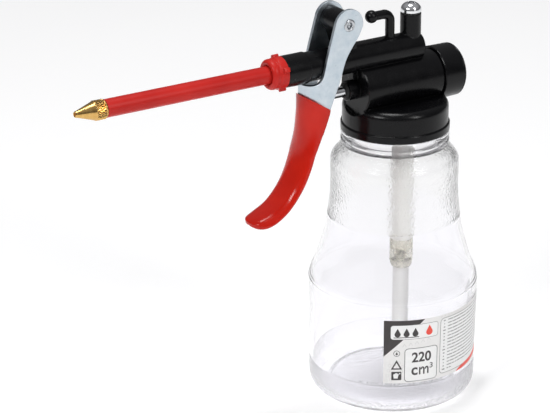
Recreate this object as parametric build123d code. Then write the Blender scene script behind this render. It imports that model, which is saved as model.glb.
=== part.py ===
from build123d import *
import math
import os

# Hand oiler: clear bottle, screw-on pump head with a squeeze lever, straight
# spout with a brass nozzle. Millimetres, +Z up. The origin is the centre of the
# bottle's base, on the bottle's axis. The spout points along -X and the object
# is laid out about the plane Y = 0.

# ---------------------------------------------------------------- dimensions
WALL = 1.5                      # bottle wall
BOTTLE_PROFILE = [              # outer radius by height
    (3.9, 32.0), (6.5, 32.1), (9.75, 32.1), (16.25, 32.0), (29.0, 32.1),
    (40.6, 32.3), (45.5, 32.2), (48.75, 31.1), (52.0, 29.8), (55.25, 28.7),
    (58.5, 27.75), (61.75, 26.85), (65.0, 26.1), (68.25, 25.5), (71.5, 25.1),
    (74.75, 24.7), (78.0, 24.35), (84.0, 24.2), (91.0, 24.2), (93.6, 23.95),
    (95.5, 22.7), (96.85, 21.5), (98.15, 20.5), (99.1, 19.7)]
BASE_R = 28.3                   # radius of the standing ring's outer edge
BASE_CORNER = 3.8
BASE_RECESS_R = 24.0            # push-up in the middle of the base
BASE_RECESS_H = 1.2
FLANGE_R = 20.4                 # neck flange under the cap
FLANGE_Z0, FLANGE_Z1 = 99.6, 104.4
NECK_R = 17.6                   # over the threads
NECK_BORE_R = 15.4
NECK_Z1 = 110.4                 # rim of the mouth
THREAD_PITCH = 3.0

CAP_Z0 = 104.7                  # lower edge of the cap skirt
CAP_BAND_R, CAP_BAND_Z = 20.45, 107.6
CAP_R = 19.9
CAP_BORE_R = 18.0
SEAL_LAND = 111.4               # ring in the cap that presses on the gasket
CAP_CEILING = 115.2
CAP_RECESS_R = 14.6
CAP_TOP = 116.3
CAP_FILLET = 2.8

BARREL_Z = 122.9                # pump barrel, along X
BARREL_R = 9.4
BARREL_X0, BARREL_X1 = -18.1, 15.5
BORE_R = 6.2
BORE_X0 = -14.6
GLAND_R, GLAND_X0 = 3.7, -22.5
ROD_R = 2.0
RUN = 0.05                      # radial running clearance
SPIGOT_R, SPIGOT_X1 = 8.3, 21.4
REAR_R0, REAR_R1 = 10.2, 10.0
REAR_X0, REAR_X1 = 15.9, 25.6
REAR_FLOOR = 22.5

OUT_Z = 135.15                  # outlet tube, along X
OUT_R = 5.5
OUT_X0, OUT_X1 = -49.9, 10.0
SOCKET_R, SOCKET_X1 = 5.85, -40.5
OUT_BORE_R = 1.8
THREAD_R, THREAD_X1 = 4.55, -39.0

POST_X, POST_R, POST_Z1 = 6.3, 3.9, 147.9
VALVE_R, VALVE_SEAT_Z = 2.4, 131.6
BALL_R = 1.75
SEAT_R = 1.2

HOOK_X, HOOK_R, HOOK_ARM_Z = -3.0, 1.75, 149.3
HOOK_BALL_X, HOOK_BALL_R = -11.25, 2.4

PIVOT_X, PIVOT_Z = -25.5, 150.2
LEVER_W = 7.0                   # half width over the cheeks
LEVER_T = 1.2
CHEEK_R = 5.9
RIVET_R, RIVET_BORE = 1.6, 1.0
RIVET_HEAD_R, RIVET_HEAD_T = 2.3, 0.5
WEB_Z = 128.9                   # top edge of the web, just under the outlet tube
GRIP_T = 0.6                    # dipped vinyl, outside
SQUEEZE_DEG = 16.0
ROD_PER_RAD = 27.4

TUBE_R, TUBE_BORE = 3.25, 2.2   # spout tube
TUBE_X0, TUBE_X1 = -121.1, -41.0
NUT_X0, NUT_XS, NUT_X1 = -56.2, -53.0, OUT_X0
NUT_R0, NUT_R1 = 5.65, 5.95
TIP_X0, TIP_XK = -132.6, -125.5
TIP_R, TIP_KNURL_R, TIP_END_R = 3.3, 3.6, 1.1
ORIFICE_R = 0.6

PIPE_X = 3.8                    # suction pipe, straight down inside the bottle
PIPE_R, PIPE_BORE = 4.15, 1.9
PIPE_Z0, PIPE_Z1 = 55.2, CAP_CEILING
PIPE_SPIGOT_R, PIPE_SPIGOT_Z1 = 2.6, 116.4
PIPE_SEAT_R, PIPE_SEAT_Z = 2.3, 59.8    # wider foot of the bore, for the spring
SLEEVE_R, SLEEVE_Z0, SLEEVE_Z1 = 4.45, 47.6, 59.3
SUCTION_SEAT_Z = 51.45
DIP_R, DIP_BORE = 3.1, 2.1
DIP_Z0, DIP_Z1 = 5.0, 50.0

LABEL_T = 0.15
LABEL_A0, LABEL_A1 = -130.5, -20.0     # degrees about Z
LABEL_Z0, LABEL_Z1 = 13.5, 39.6

OUT_DIR = "parts"
os.makedirs(OUT_DIR, exist_ok=True)


def write(shape, name):
    shape.label = name
    export_step(shape, os.path.join(OUT_DIR, name + ".step"))


# ------------------------------------------------------------------- helpers
def cyl_x(x0, x1, r, y=0.0, z=0.0):
    """Round bar along X from x0 to x1."""
    p = Plane(origin=(x0, y, z), x_dir=(0, 1, 0), z_dir=(1, 0, 0))
    return extrude(p * Circle(r), amount=x1 - x0)


def cyl_y(y0, y1, r, x=0.0, z=0.0):
    p = Plane(origin=(x, y0, z), x_dir=(1, 0, 0), z_dir=(0, 1, 0))
    return extrude(p * Circle(r), amount=y1 - y0)


def cyl_z(z0, z1, r, x=0.0, y=0.0):
    return extrude(Plane.XY.offset(z0) * Pos(x, y) * Circle(r), amount=z1 - z0)


def turned_z(points, x=0.0, y=0.0):
    """Solid turned about a vertical axis from (r, z) points."""
    face = make_face(Polyline(*[(r, 0, z) for r, z in points], close=True))
    return Pos(x, y, 0) * revolve(face, Axis.Z, 360)


def turned_x(points, y=0.0, z=0.0):
    """Solid turned about a line along X from (x, r) points."""
    face = make_face(Polyline(*[(x, 0, r) for x, r in points], close=True))
    return Pos(0, y, z) * revolve(face, Axis.X, 360)


def plate_xz(points, y0, y1):
    """Flat plate: an outline in the XZ plane, from y0 to y1."""
    wire = Polyline(*[(x, 0, z) for x, z in points], close=True)
    p = make_face(wire)
    s = extrude(p, amount=y1 - y0, dir=(0, 1, 0))
    return Pos(0, y0, 0) * s


def one(shape):
    """The largest solid of a result, as a Solid."""
    return max(shape.solids(), key=lambda s: s.volume)


def spring(radius, wire, z0, z1, turns):
    """Closed-end compression spring along +Z from z0 to z1 (outside faces)."""
    lo, hi = z0 + wire, z1 - wire
    h = hi - lo
    path = Helix(pitch=h / turns, height=h, radius=radius)
    prof = Plane(origin=path @ 0, z_dir=path % 0) * Circle(wire)
    coil = sweep(prof, path=path, is_frenet=True)
    return Pos(0, 0, lo) * coil


# -------------------------------------------------------------------- bottle
def bottle_outline(offset):
    """Side of the bottle as a spline, moved inwards by offset."""
    pts = [(r - offset, 0, z) for z, r in BOTTLE_PROFILE]
    return pts


def build_bottle():
    o = bottle_outline(0.0)
    side = Spline(*o)
    corner = Spline((BASE_R, 0, 0), (30.2, 0, 1.0), (31.4, 0, 2.3), o[0],
                    tangents=[(1, 0, 0.15), (0.02, 0, 1)])
    outer = [
        Line((0, 0, BASE_RECESS_H), (BASE_RECESS_R - 2.0, 0, BASE_RECESS_H)),
        Line((BASE_RECESS_R - 2.0, 0, BASE_RECESS_H), (BASE_RECESS_R, 0, 0)),
        Line((BASE_RECESS_R, 0, 0), (BASE_R, 0, 0)), corner, side,
        Line(o[-1], (19.7, 0, FLANGE_Z0)),
        Line((19.7, 0, FLANGE_Z0), (FLANGE_R, 0, FLANGE_Z0 + 0.5)),
        Line((FLANGE_R, 0, FLANGE_Z0 + 0.5), (FLANGE_R, 0, FLANGE_Z1)),
        Line((FLANGE_R, 0, FLANGE_Z1), (NECK_R, 0, FLANGE_Z1)),
        Line((NECK_R, 0, FLANGE_Z1), (NECK_R, 0, NECK_Z1)),
        Line((NECK_R, 0, NECK_Z1), (0, 0, NECK_Z1)),
        Line((0, 0, NECK_Z1), (0, 0, BASE_RECESS_H)),
    ]
    body = revolve(make_face(outer), Axis.Z, 360)

    i = [(r - WALL, 0, z) for z, r in BOTTLE_PROFILE if z <= 91.0]
    inner_side = Spline(*i)
    zt = i[-1][2]
    inner = [
        Line((0, 0, BASE_RECESS_H + 1.4), (BASE_RECESS_R - 1.5, 0, BASE_RECESS_H + 1.4)),
        Line((BASE_RECESS_R - 1.5, 0, BASE_RECESS_H + 1.4), (BASE_RECESS_R + 1.0, 0, 1.6)),
        Line((BASE_RECESS_R + 1.0, 0, 1.6), (28.0, 0, 1.6)),
        Line((28.0, 0, 1.6), i[0]), inner_side,
        Line(i[-1], (22.2, 0, zt + 2.6)),
        Line((22.2, 0, zt + 2.6), (19.0, 0, 97.2)),
        Line((19.0, 0, 97.2), (17.0, 0, 99.4)),
        Line((17.0, 0, 99.4), (NECK_BORE_R, 0, 101.5)),
        Line((NECK_BORE_R, 0, 101.5), (NECK_BORE_R, 0, NECK_Z1 + 1)),
        Line((NECK_BORE_R, 0, NECK_Z1 + 1), (0, 0, NECK_Z1 + 1)),
        Line((0, 0, NECK_Z1 + 1), (0, 0, BASE_RECESS_H + 1.4)),
    ]
    hollow = revolve(make_face(inner), Axis.Z, 360)
    return one(body - hollow)


def outer_radius(z):
    pts = BOTTLE_PROFILE
    for (z0, r0), (z1, r1) in zip(pts, pts[1:]):
        if z0 <= z <= z1:
            return r0 + (r1 - r0) * (z - z0) / (z1 - z0)
    return pts[-1][1]


def build_label(bottle):
    """Thin printed film stuck round part of the straight panel."""
    shell = cyl_z(LABEL_Z0, LABEL_Z1, 32.45 + LABEL_T)
    a = math.radians((LABEL_A0 + LABEL_A1) / 2)
    wedge_pts = [(0, 0)]
    n = 12
    for k in range(n + 1):
        t = math.radians(LABEL_A0 + (LABEL_A1 - LABEL_A0) * k / n)
        wedge_pts.append((60 * math.cos(t), 60 * math.sin(t)))
    wedge = Pos(0, 0, LABEL_Z0) * extrude(make_face(Polyline(*[(x, y, 0) for x, y in wedge_pts], close=True)), amount=LABEL_Z1 - LABEL_Z0)
    ring = shell & wedge
    # the panel bulges by a tenth or two, so the film is cut to the glass
    prof = [(r + LABEL_T, 0, z) for z, r in BOTTLE_PROFILE if 6 < z < 46]
    s = Spline(*prof)
    face = make_face([s, Line(prof[-1], (0, 0, prof[-1][2])), Line((0, 0, prof[-1][2]), (0, 0, prof[0][2])), Line((0, 0, prof[0][2]), prof[0])])
    limit = revolve(face, Axis.Z, 360)
    solid_inside = cyl_z(LABEL_Z0 - 1, LABEL_Z1 + 1, 31.0)
    return one((ring & limit) - solid_inside - bottle)


# ----------------------------------------------------------------- pump head
def build_head():
    # cap: skirt, band and domed top
    n = 8
    fil = [(CAP_R - CAP_FILLET + CAP_FILLET * math.cos(math.pi / 2 * k / n),
            CAP_TOP - CAP_FILLET + CAP_FILLET * math.sin(math.pi / 2 * k / n)) for k in range(n + 1)]
    cap = turned_z([(0, CAP_Z0), (CAP_BAND_R - 0.3, CAP_Z0), (CAP_BAND_R, CAP_Z0 + 0.3),
                    (CAP_BAND_R, CAP_BAND_Z - 0.3), (CAP_BAND_R - 0.2, CAP_BAND_Z), (CAP_R, CAP_BAND_Z + 0.1)]
                   + fil + [(0, CAP_TOP)])
    # barrel, gland boss, threaded spigot
    head = cap
    relief = cyl_x(-30, BARREL_X0, BARREL_R + 0.5, z=BARREL_Z)
    head = head - relief
    # pocket in the rear edge of the dome, where the rear cap screws on
    head = head - cyl_x(REAR_X0 - 0.3, 30, REAR_R0 + 0.3, z=BARREL_Z)
    head = head + turned_x([(BARREL_X0, 0), (BARREL_X0, BARREL_R - 0.35), (BARREL_X0 + 0.35, BARREL_R),
                            (BARREL_X1, BARREL_R), (BARREL_X1, SPIGOT_R), (SPIGOT_X1, SPIGOT_R), (SPIGOT_X1, 0)], z=BARREL_Z)
    head = head + turned_x([(GLAND_X0, 0), (GLAND_X0, GLAND_R - 0.3), (GLAND_X0 + 0.3, GLAND_R),
                            (BARREL_X0 + 1, GLAND_R), (BARREL_X0 + 1, 0)], z=BARREL_Z)
    # saddle between barrel and outlet tube
    head = head + Pos(-2.7, 0, 130.6) * Box(25.0, 4.4, 5.0)
    head = head + Pos(-18.6, 0, 129.4) * Box(3.2, 3.3, 4.6)
    # outlet tube
    head = head + cyl_x(OUT_X0, SOCKET_X1, SOCKET_R, z=OUT_Z)
    head = head + turned_x([(SOCKET_X1 - 0.5, 0), (SOCKET_X1 - 0.5, OUT_R), (OUT_X1 - 0.8, OUT_R),
                            (OUT_X1, OUT_R - 0.8), (OUT_X1, 0)], z=OUT_Z)
    # screw post and hanging hook
    head = head + cyl_z(OUT_Z, POST_Z1, POST_R, x=POST_X)
    arm_z = HOOK_ARM_Z
    hook = cyl_z(OUT_Z, arm_z - 3.0, HOOK_R, x=HOOK_X)
    bend = revolve(Plane(origin=(HOOK_X, 0, arm_z - 3.0), z_dir=(0, 0, 1)) * Circle(HOOK_R),
                   Axis((HOOK_X - 3.0, 0, arm_z - 3.0), (0, -1, 0)), 90)
    arm = cyl_x(HOOK_BALL_X, HOOK_X - 3.0, HOOK_R - 0.05, z=arm_z)
    ball = Pos(HOOK_BALL_X, 0, arm_z) * Sphere(HOOK_BALL_R)
    head = head + hook + bend + arm + ball
    # pivot lug: a round boss between the cheeks on a tapering rib
    lug_w = LEVER_W - LEVER_T - 0.3
    boss = cyl_y(-lug_w, lug_w, 4.4, x=PIVOT_X, z=PIVOT_Z)
    rib = plate_xz([(PIVOT_X - 3.9, PIVOT_Z - 1.8), (PIVOT_X + 4.1, PIVOT_Z - 1.4), (PIVOT_X + 6.0, OUT_Z + 3.0),
                    (PIVOT_X + 6.0, OUT_Z), (PIVOT_X - 1.2, OUT_Z), (PIVOT_X - 1.2, OUT_Z + 5.0)], -3.4, 3.4)
    head = head + boss + rib
    # socket under the cap for the suction pipe's spigot is part of the cap top

    # hollows
    head = head - cyl_z(CAP_Z0 - 1, SEAL_LAND, CAP_BORE_R) - cyl_z(CAP_Z0 - 1, CAP_CEILING, CAP_RECESS_R)
    head = head - cyl_x(BORE_X0, SPIGOT_X1 + 1, BORE_R, z=BARREL_Z)
    head = head - cyl_x(GLAND_X0 - 1, BORE_X0 + 1, ROD_R + RUN, z=BARREL_Z)
    head = head - cyl_x(GLAND_X0 - 1, GLAND_X0 + 1.6, 3.0, z=BARREL_Z)
    head = head - cyl_x(OUT_X0 - 1, THREAD_X1, THREAD_R, z=OUT_Z)
    head = head - cyl_x(THREAD_X1 - 1, POST_X, OUT_BORE_R, z=OUT_Z)
    head = head - cyl_z(VALVE_SEAT_Z, 142.0, VALVE_R, x=POST_X)
    head = head - cyl_z(BARREL_Z + 5.0, VALVE_SEAT_Z + 1, SEAT_R, x=POST_X)
    head = head - cyl_z(141.0, POST_Z1 + 1, VALVE_R, x=POST_X)
    head = head - cyl_z(CAP_CEILING - 1, PIPE_SPIGOT_Z1, PIPE_SPIGOT_R, x=PIPE_X)
    head = head - cyl_z(PIPE_SPIGOT_Z1 - 1, BARREL_Z - 5.0, PIPE_BORE, x=PIPE_X)
    head = head - cyl_y(-10, 10, RIVET_R + RUN, x=PIVOT_X, z=PIVOT_Z)
    return one(head)


# --------------------------------------------------------------------- lever
# outside of the vinyl at Y = 0, from the dip line down to the tip
NOSE = [(-42.4, 160.0), (-42.4, 150.0), (-42.4, 140.0), (-42.3, 131.0), (-42.3, 124.0), (-42.6, 116.0), (-43.3, 107.0),
        (-44.9, 100.5), (-48.4, 92.8), (-53.9, 86.0), (-60.2, 81.9), (-66.5, 79.9)]
# rear edge of the vinyl
REAR = [(-33.1, 121.2), (-33.9, 118.0), (-37.1, 110.8), (-41.4, 100.8), (-46.6, 91.8),
        (-50.9, 86.5), (-55.5, 81.6), (-60.5, 78.4), (-66.5, 76.0)]
# cheek outline, steel
CHEEK_FRONT = [(-31.3, 151.6), (-33.35, 144.3), (-34.5, 140.2), (-35.6, 135.6), (-36.3, 131.0), (-36.8, 124.0)]
CHEEK_REAR = [(-19.8, 148.9), (-22.4, 144.1), (-24.9, 140.7), (-27.1, 136.8), (-28.6, 132.1),
              (-30.3, 127.4), (-32.0, 123.3), (-33.3, 119.9)]


SECTION_AT = [0.0, 0.15, 0.3, 0.42, 0.52, 0.62, 0.72, 0.82, 0.91, 1.0]
SECTION_SAG = [1.0, 1.0, 1.0, 1.0, 0.88, 0.70, 0.55, 0.46, 0.42, 0.40]   # depth of the round front over its half width


def nose_solid(radius, inset, leg):
    """Channel section lofted down the nose: round front, straight legs behind.

    The front is a half circle at the cheeks and flattens to a shallow curve
    at the tip, where the lever is only a gutter."""
    pts = [(x + inset, 0, z) for x, z in NOSE]
    path = Spline(*pts)
    faces = []
    for u, k in zip(SECTION_AT, SECTION_SAG):
        p = path @ u
        t = path % u
        plane = Plane(origin=p, x_dir=(0, 1, 0), z_dir=t)
        sgn = 1.0 if plane.y_dir.dot(Vector(1, 0, 0)) > 0 else -1.0
        c = sgn * radius * k
        e = sgn * (radius + leg)
        faces.append(plane * make_face([
            ThreePointArc((-radius, c), (0, 0), (radius, c)),
            Line((radius, c), (radius, e)),
            Line((radius, e), (-radius, e)),
            Line((-radius, e), (-radius, c))]))
    return loft(faces)


def behind_cut(shift):
    """Everything behind the rear edge, moved forward by shift."""
    pts = [(x - shift, z) for x, z in REAR]
    rear = Spline(*[(x, 0, z) for x, z in pts])
    x1, z1 = pts[0]
    x2, z2 = pts[-1]
    top = 165.0
    face = make_face([rear, Line((x2, 0, z2), (x2, 0, z2 - 30)), Line((x2, 0, z2 - 30), (20, 0, z2 - 30)),
                      Line((20, 0, z2 - 30), (20, 0, top)), Line((20, 0, top), (x1 + 13.0, 0, top)),
                      Line((x1 + 13.0, 0, top), (x1, 0, z1))])
    return Pos(0, -20, 0) * extrude(face, amount=40, dir=(0, 1, 0))


def plan_end(length_cut, radius):
    """Rounded end of the tip: keeps what lies behind a half-round edge."""
    # local frame at the tip: u points out along the tip
    tip = Vector(-65.6, 0, 80.0)
    u = Vector(-0.93, 0, -0.37).normalized()
    plane = Plane(origin=tip, x_dir=u, z_dir=u.cross(Vector(0, 1, 0)) * -1)
    c = length_cut - radius
    face = make_face([Line((-110, -radius - 3), (c - 6, -radius - 3)), Line((c - 6, -radius - 3), (c, -radius)),
                      ThreePointArc((c, -radius), (length_cut, 0), (c, radius)),
                      Line((c, radius), (c - 6, radius + 3)), Line((c - 6, radius + 3), (-110, radius + 3)),
                      Line((-110, radius + 3), (-110, -radius - 3))])
    return extrude(plane * face, amount=60, both=True)


def dip_half_space():
    """Below the slanted dip line."""
    # through (-33.7, 120.0) rising forwards to (-42.0, 125.1)
    pts = [(-15.0, 108.5), (-60.0, 136.2), (-90.0, 136.2), (-90.0, 40.0), (-15.0, 40.0)]
    return plate_xz(pts, -20, 20)


def side_outline():
    """Side view of the steel lever: cheeks above, gutter below."""
    n = 14
    arc = []
    a0 = math.atan2(CHEEK_FRONT[0][1] - PIVOT_Z, CHEEK_FRONT[0][0] - PIVOT_X)
    a1 = math.atan2(CHEEK_REAR[0][1] - PIVOT_Z, CHEEK_REAR[0][0] - PIVOT_X)
    for k in range(n + 1):
        a = a0 + (a1 - a0) * k / n
        arc.append((PIVOT_X + CHEEK_R * math.cos(a), PIVOT_Z + CHEEK_R * math.sin(a)))
    front = [arc[0]] + CHEEK_FRONT[1:4]
    f_spline = Spline(*[(x, 0, z) for x, z in front])
    rear = CHEEK_REAR[:-1] + [(-33.9, 118.9)] + [(x - 0.6, z) for x, z in REAR[2:]]
    rear[0] = arc[-1]
    r_spline = Spline(*[(x, 0, z) for x, z in rear])
    mid = arc[n // 2]
    fx, fz = front[-1]
    ex, ez = rear[-1]
    # the web's top edge runs out from the cheeks in a fillet, under the outlet tube
    web = Spline((fx, 0, fz), (-36.6, 0, 132.0), (-38.6, 0, 129.7), (-42.0, 0, WEB_Z), (-60, 0, WEB_Z),
                 tangents=[(-0.22, 0, -1), (-1, 0, 0)])
    return make_face([
        ThreePointArc((arc[0][0], 0, arc[0][1]), (mid[0], 0, mid[1]), (arc[-1][0], 0, arc[-1][1])),
        f_spline, web, Line((-60, 0, WEB_Z), (-90, 0, fz - 20)),
        Line((-90, 0, fz - 20), (-90, 0, ez)), Line((-90, 0, ez), (ex, 0, ez)), r_spline])


def build_lever():
    outer = nose_solid(LEVER_W, GRIP_T, 18.0)
    inner = nose_solid(LEVER_W - LEVER_T, GRIP_T + LEVER_T, 20.0)
    shell = outer - inner
    side = Pos(0, -20, 0) * extrude(side_outline(), amount=40, dir=(0, 1, 0))
    shell = one(shell & side)
    # end of the steel inside the vinyl tip
    shell = one(shell & plan_end(-1.6, LEVER_W))
    lever = shell - cyl_y(-20, 20, RIVET_R, x=PIVOT_X, z=PIVOT_Z)
    print("lever pieces", [round(q.volume) for q in lever.solids()])
    return one(lever)


def build_grip(lever):
    R = LEVER_W + GRIP_T
    outer = nose_solid(R, 0.0, 18.0)
    inner = nose_solid(LEVER_W - LEVER_T - GRIP_T, GRIP_T * 2 + LEVER_T, 20.0)
    body = outer - behind_cut(0.0)
    body = one(body & dip_half_space())
    body = one(body & plan_end(0.0, LEVER_W + GRIP_T))
    print("grip solid", round(body.volume), body.bounding_box().min)
    # hollow behind, closed at the tip
    keep = Pos(-61.0 + 30, 0, 100) * Box(60, 60, 100)
    body = body - (inner & keep)
    return one(body - lever)


# ----------------------------------------------------------- moving internals
def build_parts():
    out = {}
    bottle = build_bottle()
    out["bottle"] = bottle
    out["bottle_label"] = build_label(bottle)
    head = build_head()
    out["pump_head"] = head

    out["cap_seal"] = one(cyl_z(NECK_Z1, SEAL_LAND, CAP_BORE_R - 0.15) - cyl_z(NECK_Z1 - 1, SEAL_LAND + 1, NECK_BORE_R - 0.2))

    # rear cap with a spring boss
    cap = turned_x([(REAR_X0, SPIGOT_R), (REAR_X0, REAR_R0 - 0.3), (REAR_X0 + 0.3, REAR_R0), (24.2, REAR_R1 + 0.05),
                    (24.5, REAR_R1 - 0.15), (24.8, REAR_R1), (REAR_X1 - 0.6, REAR_R1), (REAR_X1, REAR_R1 - 0.6), (REAR_X1, 8.4),
                    (REAR_X1 - 0.4, 8.0), (REAR_X1 - 0.4, 0), (19.6, 0), (19.6, 2.6), (20.0, 3.0), (REAR_FLOOR, 3.0), (REAR_FLOOR, SPIGOT_R)], z=BARREL_Z)
    out["rear_cap"] = one(cap)
    out["rear_cap_seal"] = one(cyl_x(SPIGOT_X1, REAR_FLOOR, 8.1, z=BARREL_Z) - cyl_x(SPIGOT_X1 - 1, REAR_FLOOR + 1, BORE_R + 0.3, z=BARREL_Z))

    # plunger
    rod_x0 = -39.65
    rod = turned_x([(rod_x0, 0), (rod_x0 + 0.05, 0.7), (rod_x0 + 0.35, 1.4), (rod_x0 + 1.0, ROD_R), (-13.2, ROD_R), (-13.2, 1.4), (-6.8, 1.4), (-6.8, 0)], z=BARREL_Z)
    out["plunger_rod"] = one(rod)
    piston = turned_x([(-13.2, 1.4), (-13.2, 6.0), (-11.6, 6.0), (-11.6, 4.6), (-9.8, 4.6), (-9.8, 6.0), (-8.2, 6.0), (-8.2, 3.2), (-6.8, 3.2), (-6.8, 1.4)], z=BARREL_Z)
    out["piston"] = one(piston)
    out["piston_seal"] = one(turned_x([(-11.5, 4.6), (-11.5, 5.6), (-11.1, BORE_R - 0.03), (-10.3, BORE_R - 0.03), (-9.9, 5.6), (-9.9, 4.6)], z=BARREL_Z))
    spr = spring(4.3, 0.45, 0.0, REAR_FLOOR + 8.2 - 0.04, 7.0)
    out["return_spring"] = one(Pos(-8.2 + 0.02, 0, BARREL_Z) * Rot(0, 90, 0) * spr)

    # wiper lip at the front of the gland
    out["rod_seal"] = one(turned_x([(GLAND_X0 - 1.0, ROD_R + RUN), (GLAND_X0 - 1.0, 2.5), (GLAND_X0 - 0.3, 2.95),
                                    (GLAND_X0 + 1.6, 2.95), (GLAND_X0 + 1.6, ROD_R + RUN)], z=BARREL_Z))

    # lever
    lever = build_lever()
    out["lever"] = lever
    out["lever_grip"] = build_grip(lever)
    y1 = LEVER_W + 0.02
    rivet = cyl_y(-y1 - RIVET_HEAD_T, y1 + RIVET_HEAD_T, RIVET_R - 0.01, x=PIVOT_X, z=PIVOT_Z)
    for s in (-1, 1):
        a, b = sorted((s * y1, s * (y1 + RIVET_HEAD_T)))
        rivet = rivet + cyl_y(a, b, RIVET_HEAD_R, x=PIVOT_X, z=PIVOT_Z)
    rivet = rivet - cyl_y(-20, 20, RIVET_BORE, x=PIVOT_X, z=PIVOT_Z)
    out["lever_rivet"] = one(rivet)

    # spout: nut, tube, washer, nozzle
    nut = turned_x([(NUT_X0, 3.9), (NUT_X0 + 0.15, 4.4), (NUT_X0 + 0.6, 5.1), (NUT_X0 + 1.4, NUT_R0), (NUT_XS - 0.6, NUT_R0),
                    (NUT_XS, NUT_R0 - 0.15), (NUT_XS + 0.3, NUT_R1), (NUT_X1 - 0.02, NUT_R1), (NUT_X1 - 0.02, THREAD_R - 0.05),
                    (TUBE_X1 - 0.2 - 1.5, THREAD_R - 0.05), (TUBE_X1 - 0.2 - 1.5, TUBE_R + RUN),
                    (NUT_X0 + 1.0, TUBE_R + RUN), (NUT_X0 + 1.0, 3.9)], z=OUT_Z)
    nut = one(nut)
    for k in range(4):
        lug = Pos(NUT_X1 - 1.35, 0, NUT_R1) * Box(2.4, 1.8, 1.6)
        nut = nut + Pos(0, 0, OUT_Z) * Rot(-24 + 90 * k, 0, 0) * lug
    out["spout_nut"] = one(nut)
    flange_x0 = TUBE_X1 - 1.5
    tube = turned_x([(TUBE_X0, TUBE_BORE), (TUBE_X0, TUBE_R), (flange_x0, TUBE_R), (flange_x0, 4.4), (TUBE_X1, 4.4), (TUBE_X1, TUBE_BORE)], z=OUT_Z)
    out["spout_tube"] = one(tube)
    out["spout_seal"] = one(cyl_x(TUBE_X1, THREAD_X1, 4.4, z=OUT_Z) - cyl_x(TUBE_X1 - 1, THREAD_X1 + 1, 2.0, z=OUT_Z))
    tip = turned_x([(TIP_X0, ORIFICE_R), (TIP_X0, TIP_END_R - 0.2), (TIP_X0 + 0.3, TIP_END_R), (TIP_X0 + 1.6, 1.35),
                    (TIP_XK - 0.3, TIP_KNURL_R - 0.35), (TIP_XK, TIP_KNURL_R), (TUBE_X0 - 0.9, TIP_KNURL_R), (TUBE_X0 - 0.5, TIP_R), (TUBE_X0 - 0.02, TIP_R),
                    (TUBE_X0 - 0.02, TUBE_BORE - RUN), (TUBE_X0 + 9.0, TUBE_BORE - RUN), (TUBE_X0 + 9.0, 1.2), (TIP_X0 + 4.0, 1.2), (TIP_X0 + 3.0, ORIFICE_R)], z=OUT_Z)
    out["nozzle_tip"] = one(tip)

    # discharge valve in the screw post
    d_ball = VALVE_SEAT_Z + math.sqrt(BALL_R ** 2 - SEAT_R ** 2) + 0.02
    out["discharge_ball"] = Pos(POST_X, 0, d_ball) * Solid.make_sphere(BALL_R)
    out["discharge_spring"] = one(Pos(POST_X, 0, 0) * spring(1.35, 0.22, d_ball + 1.3, 142.95, 5.0))
    shank = cyl_z(143.0, POST_Z1 + 0.5, VALVE_R, x=POST_X)
    n = 8
    dome = [(3.85, POST_Z1 + 0.5), (3.85, POST_Z1 + 1.6)]
    for k in range(1, n + 1):
        a = math.pi / 2 * k / n
        dome.append((3.85 * math.cos(a) if k < n else 0.0, POST_Z1 + 1.6 + 2.75 * math.sin(a)))
    dome.append((0.0, POST_Z1 + 0.5))
    screw = shank + turned_z(dome, x=POST_X)
    for ang in (20, 110):
        slot = Pos(POST_X, 0, POST_Z1 + 4.0) * Rot(0, 0, ang) * Box(4.4, 0.9, 2.6)
        screw = screw - slot
    out["valve_screw"] = one(screw)
    out["valve_screw_washer"] = one(cyl_z(POST_Z1, POST_Z1 + 0.5, 3.7, x=POST_X) - cyl_z(POST_Z1 - 1, POST_Z1 + 1, VALVE_R + 0.02, x=POST_X))

    # suction side
    pipe = turned_z([(PIPE_BORE, PIPE_SEAT_Z), (PIPE_SEAT_R, PIPE_SEAT_Z), (PIPE_SEAT_R, PIPE_Z0), (PIPE_R - 0.25, PIPE_Z0), (PIPE_R, PIPE_Z0 + 0.4), (PIPE_R, PIPE_Z1), (PIPE_SPIGOT_R, PIPE_Z1),
                     (PIPE_SPIGOT_R, PIPE_SPIGOT_Z1), (PIPE_BORE, PIPE_SPIGOT_Z1)], x=PIPE_X)
    out["suction_pipe"] = one(pipe)
    body = turned_z([(DIP_R, SLEEVE_Z0), (3.75, SLEEVE_Z0), (4.1, SLEEVE_Z0 + 0.9), (SLEEVE_R, SLEEVE_Z0 + 2.6), (SLEEVE_R, SLEEVE_Z1),
                     (PIPE_R, SLEEVE_Z1), (PIPE_R, PIPE_Z0), (VALVE_R, PIPE_Z0), (VALVE_R, SUCTION_SEAT_Z), (SEAT_R, SUCTION_SEAT_Z),
                     (SEAT_R, DIP_Z1), (DIP_R, DIP_Z1)], x=PIPE_X)
    out["suction_valve_body"] = one(body)
    s_ball = SUCTION_SEAT_Z + math.sqrt(BALL_R ** 2 - SEAT_R ** 2) + 0.02
    out["suction_ball"] = Pos(PIPE_X, 0, s_ball) * Solid.make_sphere(BALL_R)
    out["suction_spring"] = one(Pos(PIPE_X, 0, 0) * spring(1.7, 0.22, s_ball + 1.15, PIPE_SEAT_Z - 0.03, 4.5))
    dip = cyl_z(DIP_Z0, DIP_Z1, DIP_R, x=PIPE_X) - cyl_z(DIP_Z0 - 1, DIP_Z1 + 1, DIP_BORE, x=PIPE_X)
    dip = dip - Pos(PIPE_X, 0, DIP_Z0) * Rot(0, 25, 0) * Box(12, 12, 1.6)
    out["dip_tube"] = one(dip)
    return out


parts = build_parts()
for name, shape in parts.items():
    write(shape, name)
    bb = shape.bounding_box()
    print(f"{name:20s} solids {len(shape.solids())} vol {shape.volume:9.1f}  "
          f"{bb.min.X:8.2f} {bb.min.Y:8.2f} {bb.min.Z:8.2f}  {bb.max.X:8.2f} {bb.max.Y:8.2f} {bb.max.Z:8.2f}")
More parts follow.
